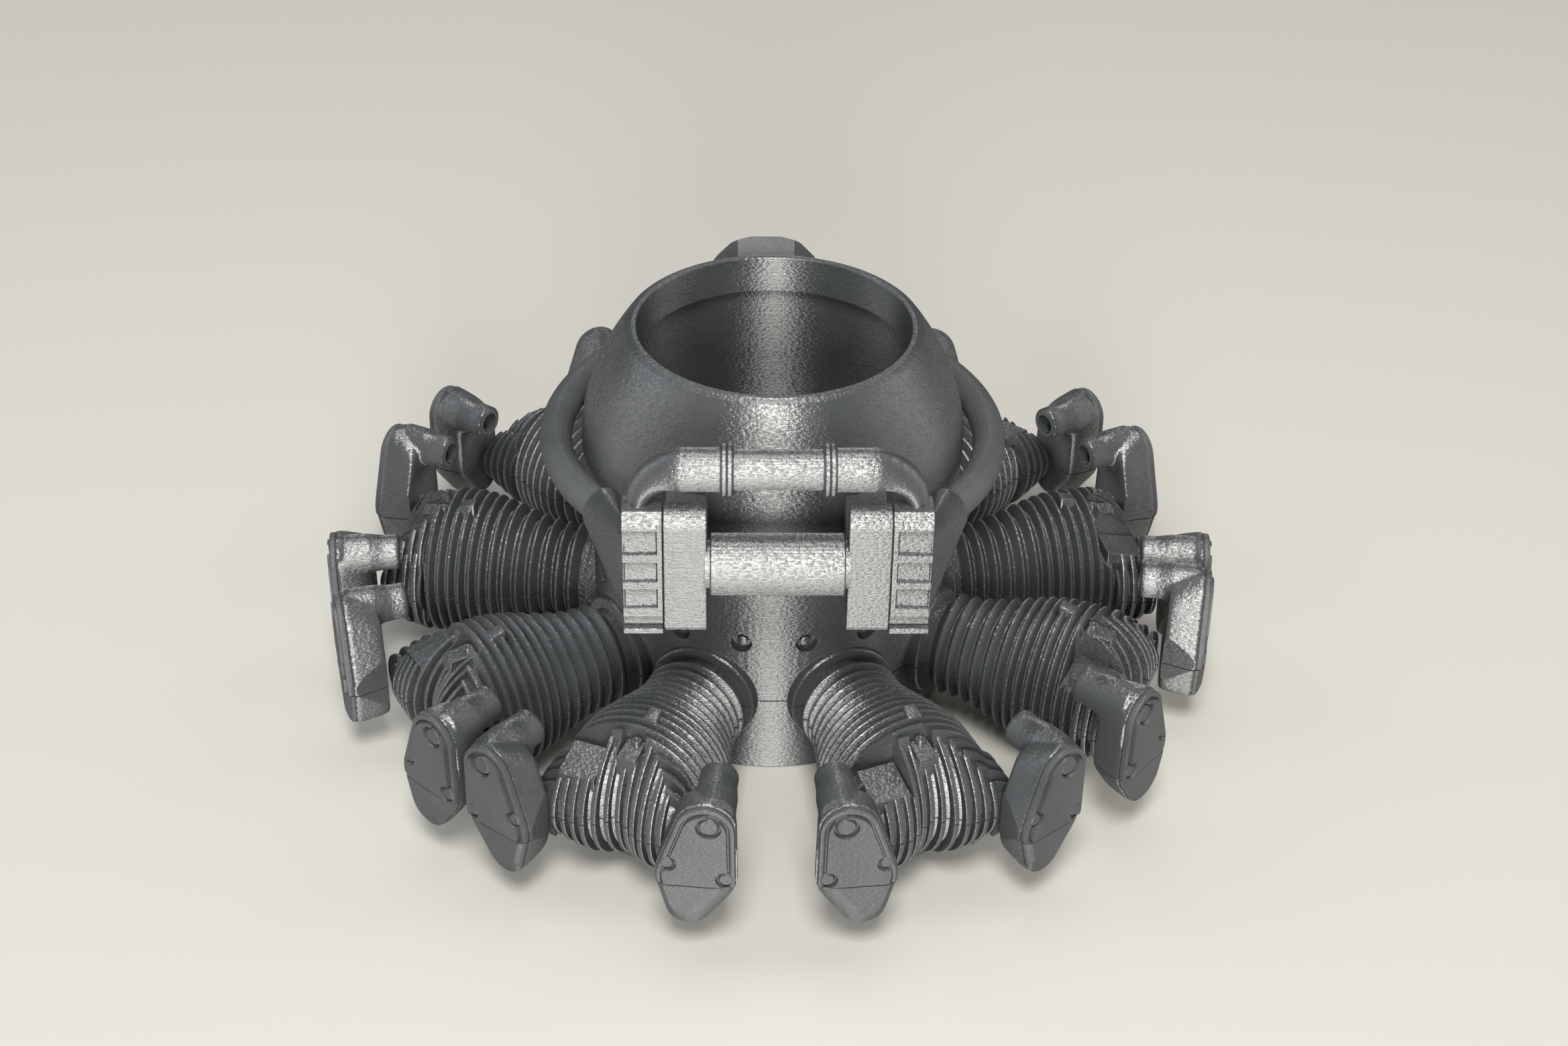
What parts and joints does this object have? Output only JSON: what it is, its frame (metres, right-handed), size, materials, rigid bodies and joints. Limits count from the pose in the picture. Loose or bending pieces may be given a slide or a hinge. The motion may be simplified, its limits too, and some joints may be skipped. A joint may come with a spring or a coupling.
{
  "type": "radial aircraft engine",
  "caption": "Display model of a radial aircraft engine: finned cylinders round a tube crankcase, open bell nose case, magnetos, ignition ring and crossover pipe.",
  "frame": {"origin": "centre of the crankcase's rear face, which the model stands on", "axes": "+Z along the engine axis to the nose, -Y to the magnetos, +X to the right seen from the magneto side"},
  "size_m": [0.141, 0.1394, 0.0639],
  "materials": {
    "grey_plastic": "blue-grey printed plastic with fine layer lines and a soft sheen"
  },
  "bodies": {
    "root": {"crankcase_front": "grey_plastic", "crankcase_rear": "grey_plastic", "crossover_elbow_left": "grey_plastic", "crossover_elbow_right": "grey_plastic", "crossover_pipe": "grey_plastic", "cylinder_1_front": "grey_plastic", "cylinder_1_rear": "grey_plastic", "cylinder_2_front": "grey_plastic", "cylinder_2_rear": "grey_plastic", "cylinder_3_front": "grey_plastic", "cylinder_3_rear": "grey_plastic", "cylinder_4_front": "grey_plastic", "cylinder_4_rear": "grey_plastic", "cylinder_5_front": "grey_plastic", "cylinder_5_rear": "grey_plastic", "cylinder_6_front": "grey_plastic", "cylinder_6_rear": "grey_plastic", "cylinder_7_front": "grey_plastic", "cylinder_7_rear": "grey_plastic", "cylinder_8_front": "grey_plastic", "cylinder_8_rear": "grey_plastic", "cylinder_9_front": "grey_plastic", "cylinder_9_rear": "grey_plastic", "distributor_left": "grey_plastic", "distributor_right": "grey_plastic", "drive_housing": "grey_plastic", "ignition_ring": "grey_plastic", "magneto_left": "grey_plastic", "magneto_right": "grey_plastic", "nose_case": "grey_plastic", "nose_plug": "grey_plastic", "pipe_collar_left": "grey_plastic", "pipe_collar_right": "grey_plastic", "ring_duct_left": "grey_plastic", "ring_duct_right": "grey_plastic", "rocker_box_1_left": "grey_plastic", "rocker_box_1_right": "grey_plastic", "rocker_box_2_left": "grey_plastic", "rocker_box_2_right": "grey_plastic", "rocker_box_3_left": "grey_plastic", "rocker_box_3_right": "grey_plastic", "rocker_box_4_left": "grey_plastic", "rocker_box_4_right": "grey_plastic", "rocker_box_5_left": "grey_plastic", "rocker_box_5_right": "grey_plastic", "rocker_box_6_left": "grey_plastic", "rocker_box_6_right": "grey_plastic", "rocker_box_7_left": "grey_plastic", "rocker_box_7_right": "grey_plastic", "rocker_box_8_left": "grey_plastic", "rocker_box_8_right": "grey_plastic", "rocker_box_9_left": "grey_plastic", "rocker_box_9_right": "grey_plastic", "rocker_covers_left": "grey_plastic", "rocker_covers_right": "grey_plastic"}
  },
  "joints": []
}
